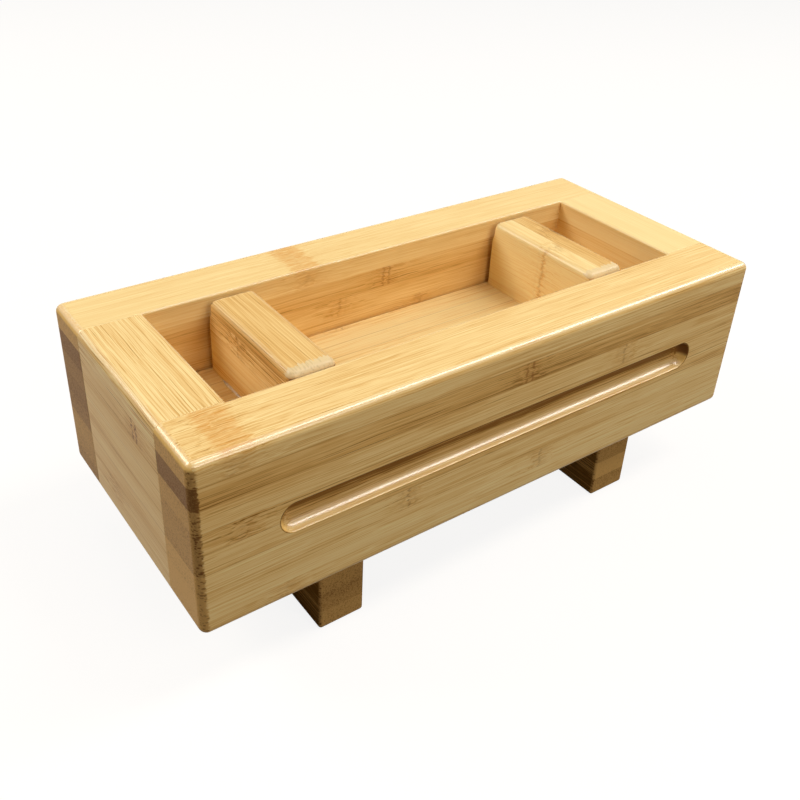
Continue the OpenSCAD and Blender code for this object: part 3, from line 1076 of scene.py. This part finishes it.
# Place, width and height in metres, power in watts, tint, and the way the width lies, or None for level
SOFTBOXES = {
    "overhead softbox": ((0.0, 0.25, 1.2), 0.8, 0.8, 1.4, "#FFFFFF", None),
    "strip softbox": ((0.58, -0.24, 0.84), 0.9, 0.24, 6.5, "#FFFCF4", (0.36, 0.07, -0.24)),
    "front softbox": ((0.05, -0.58, 0.48), 0.4, 0.3, 1.5, "#FFF8EC", None),
    "side softbox": ((-0.65, 0.55, 0.70), 0.6, 0.4, 6.4, "#FFF8EC", None),
}
SOFTBOX_AIM = Vector((0, 0, 0.05))
FLOOR_HALF = 6.0  # Half the side of the floor, in metres
FLOOR_LIFT, DIM_LIGHT = 0.87, 0.06  # What the camera sees added to the floor, and light from all round


class PRESS_OT_stage(bpy.types.Operator):
    """Makes the floor, the soft lights and the camera"""

    bl_idname = "press.stage"
    bl_label = "Stage"

    def execute(self, context):
        scene = context.scene
        mesh = bpy.data.meshes.new("floor")
        bm = bmesh.new()
        bmesh.ops.create_grid(bm, x_segments=1, y_segments=1, size=FLOOR_HALF)
        bm.to_mesh(mesh)
        bm.free()
        floor = bpy.data.objects.new("floor", mesh)
        scene.collection.objects.link(floor)
        mesh.materials.append(self.white_floor(scene.press_colours.floor))
        self.white_world(scene)
        for name, settings in SOFTBOXES.items():
            self.softbox(scene, name, *settings)
        self.camera(scene)
        scene.view_settings.view_transform = "Standard"
        return {"FINISHED"}

    def white_floor(self, colour):
        """A grey board that the camera sees lifted to white, and that keeps the shadow of the press."""
        material = bpy.data.materials.new("pale floor")
        node = partial(add, cleared_tree(material))
        matt = node("ShaderNodeBsdfDiffuse", {"Color": colour})
        lift = node("ShaderNodeEmission", {"Color": (1, 1, 1), "Strength": FLOOR_LIFT})
        lifted = node("ShaderNodeAddShader", matt, lift)
        node("ShaderNodeOutputMaterial", {"Surface": self.seen(node, matt, lifted)})
        return material

    def white_world(self, scene):
        """Plain surroundings: dim soft light, and white to the camera."""
        scene.world = bpy.data.worlds.new("surroundings")
        node = partial(add, cleared_tree(scene.world))
        around = node("ShaderNodeBackground", {"Color": linear("#FFFAF2"), "Strength": DIM_LIGHT})
        white = node("ShaderNodeBackground", {"Color": (1, 1, 1), "Strength": 1.0})
        node("ShaderNodeOutputWorld", {"Surface": self.seen(node, around, white)})

    def seen(self, node, lighting, to_camera):
        """One shader to light the press, and one for what the camera sees, straight, mirrored or through
        something clear."""
        path = node("ShaderNodeLightPath", out=ALL)
        rays = path["Is Camera Ray"]
        for kind in ("Is Glossy Ray", "Is Transmission Ray"):
            rays = node("MAXIMUM", rays, path[kind])
        return node("ShaderNodeMixShader", rays, lighting, to_camera)

    def softbox(self, scene, name, place, width, height, power, tint, lie):
        """A soft lamp that looks at the press, with its width along lie, or else level."""
        lamp = bpy.data.lights.new(name, "AREA")
        lamp.color = linear(tint)
        lamp.shape, lamp.size, lamp.size_y, lamp.energy = "RECTANGLE", width, height, power
        holder = bpy.data.objects.new(name, lamp)
        holder.location = place
        back = (Vector(place) - SOFTBOX_AIM).normalized()
        side = Vector(lie) - back * back.dot(lie) if lie else Vector((0, 0, 1)).cross(back)
        side.normalize()
        holder.rotation_euler = Matrix((side, back.cross(side), back)).transposed().to_euler()
        scene.collection.objects.link(holder)

    def camera(self, scene):
        """The camera of the photograph."""
        lens = bpy.data.cameras.new("camera")
        camera = bpy.data.objects.new("camera", lens)
        scene.collection.objects.link(camera)
        scene.camera = camera
        level = Vector((math.sin(AZIMUTH), math.cos(AZIMUTH), 0))
        forward = level * math.cos(ELEVATION) - Vector((0, 0, math.sin(ELEVATION)))
        right = Vector((level.y, -level.x, 0))
        turned = Matrix((right, right.cross(forward), -forward)).transposed()
        turned = Matrix.Rotation(-ROLL, 3, forward) @ turned
        camera.matrix_world = Matrix.Translation(Vector(CAMERA_PLACE) * MM) @ turned.to_4x4()
        lens.sensor_width = 36.0
        lens.lens = lens.sensor_width * FOCAL_LENGTH / PHOTO_SIDE
        lens.shift_y = (CENTRE_ROW - PHOTO_SIDE / 2) / PHOTO_SIDE
        lens.clip_start, lens.clip_end = 0.01, 20.0


class PRESS_PT_panel(bpy.types.Panel):
    """Shows the sizes and colours of the rice press, and a button for each step that makes it"""

    bl_idname = "PRESS_PT_panel"
    bl_label = "Rice Press"
    bl_space_type = "VIEW_3D"
    bl_region_type = "UI"
    bl_category = "Rice Press"

    def draw(self, context):
        layout = self.layout
        for settings in (context.scene.press_sizes, context.scene.press_colours):
            column = layout.column()
            for name in settings.__annotations__:
                column.prop(settings, name)
        for step in STEPS:
            layout.operator(step.bl_idname)


STEPS = (
    PRESS_OT_stage, PRESS_OT_frame_boards, PRESS_OT_base, PRESS_OT_press, PRESS_OT_dowels, PRESS_OT_glue
)
CLASSES = (PressSizes, PressColours, *STEPS, PRESS_PT_panel)


def register():
    for cls in CLASSES:
        bpy.utils.register_class(cls)
    bpy.types.Scene.press_sizes = PointerProperty(type=PressSizes)
    bpy.types.Scene.press_colours = PointerProperty(type=PressColours)


def unregister():
    del bpy.types.Scene.press_colours
    del bpy.types.Scene.press_sizes
    for cls in reversed(CLASSES):
        bpy.utils.unregister_class(cls)


def main():
    register()
    for step in STEPS:
        group, name = step.bl_idname.split(".")
        if getattr(getattr(bpy.ops, group), name)() != {"FINISHED"}:
            raise RuntimeError(f"{step.bl_label} didn't finish")


if __name__ == "__main__":
    main()
